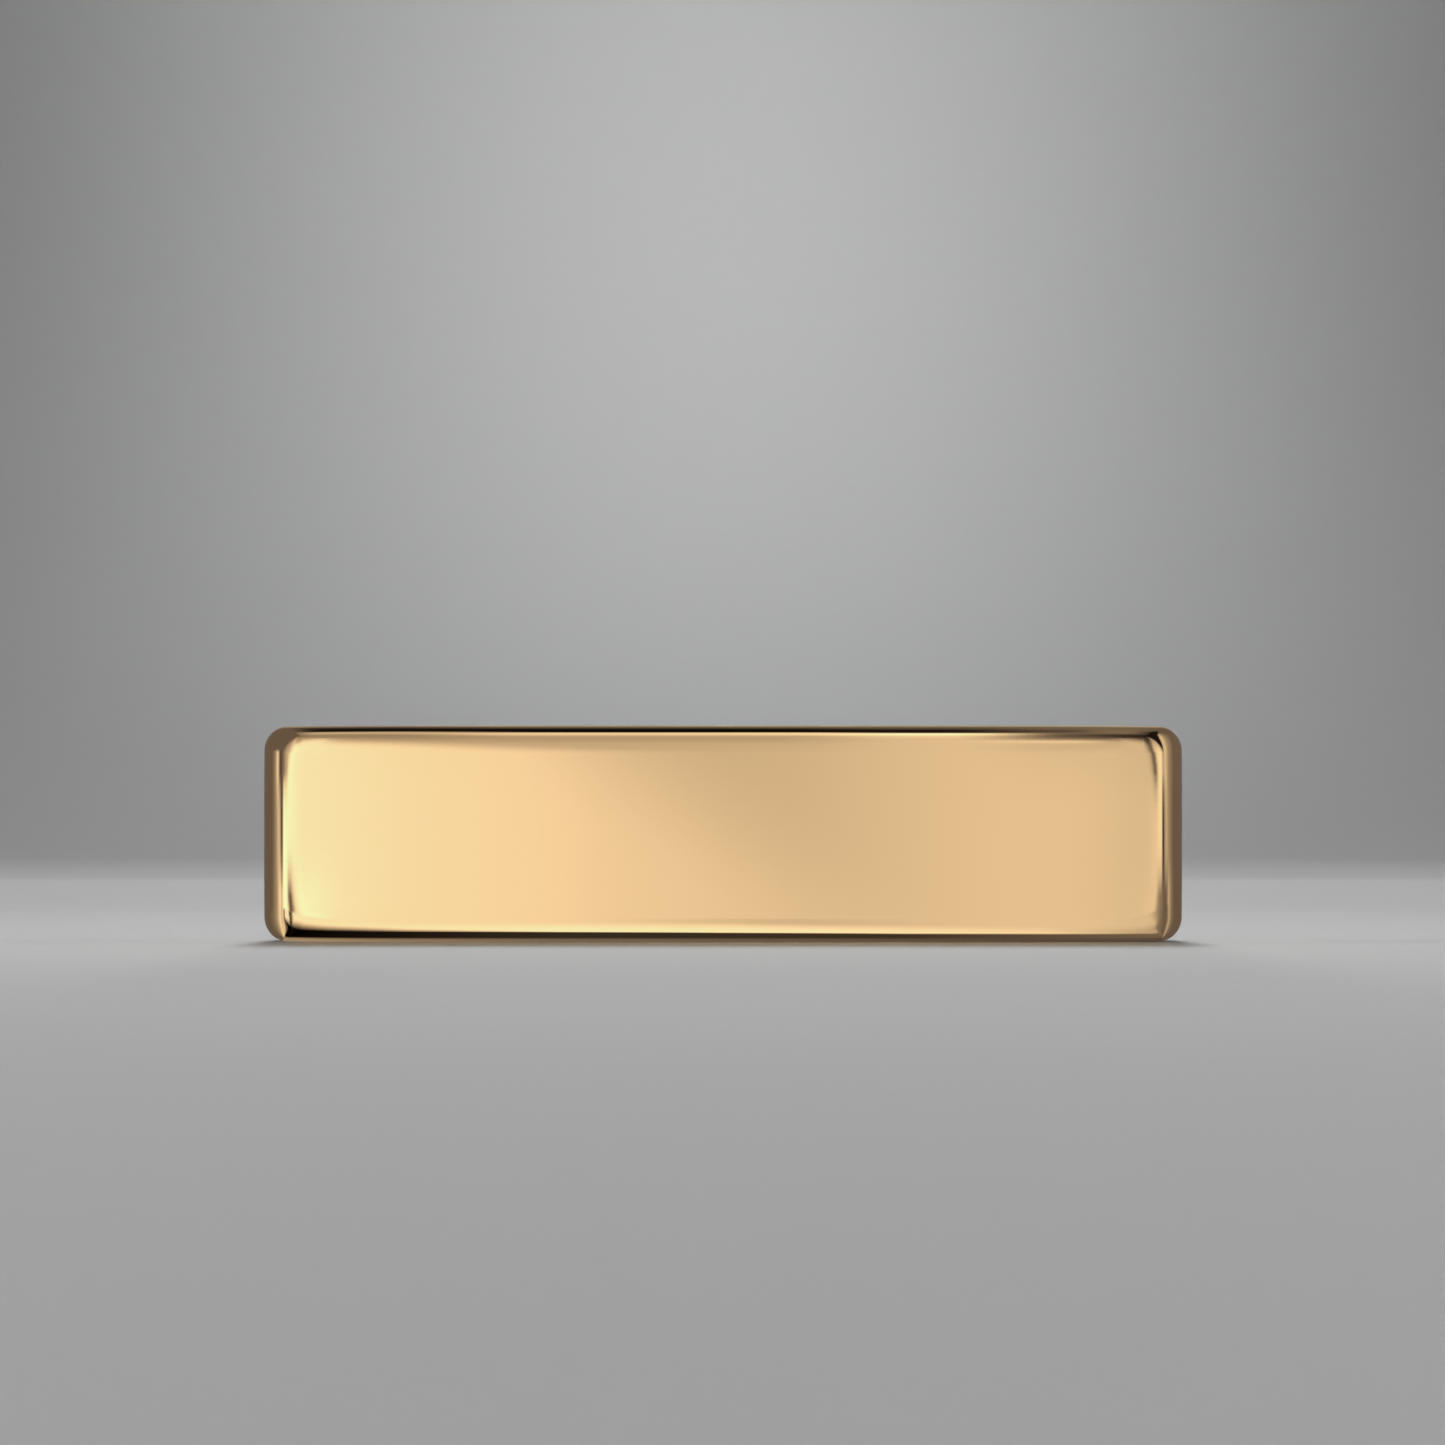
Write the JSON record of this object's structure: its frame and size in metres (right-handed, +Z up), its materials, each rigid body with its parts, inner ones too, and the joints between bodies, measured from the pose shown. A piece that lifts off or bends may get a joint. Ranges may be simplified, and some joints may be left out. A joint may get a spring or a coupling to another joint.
{
  "type": "paperweight",
  "caption": "Mirror-polished rectangular bar paperweight with rounded edges, a steel ballast core and a felt face, standing on its long side.",
  "frame": {"origin": "centre of the long side that the bar stands on", "axes": "+X along the bar, +Y from the polished face to the felt face, +Z up across the bar's width"},
  "size_m": [0.17, 0.015, 0.04],
  "materials": {
    "cover": "mirror polished",
    "standoffs": "turned",
    "bedding_sheet": "closed-cell foam",
    "ballast_bar": "cold drawn",
    "base_plate": "zinc plated",
    "base_screws": "black oxide",
    "adhesive_film": "translucent film",
    "felt_pad": "pressed felt"
  },
  "bodies": {
    "root": {"cover": "cover", "standoffs": "standoffs", "bedding_sheet": "bedding_sheet", "ballast_bar": "ballast_bar", "base_plate": "base_plate", "base_screws": "base_screws", "adhesive_film": "adhesive_film", "felt_pad": "felt_pad"}
  },
  "joints": []
}
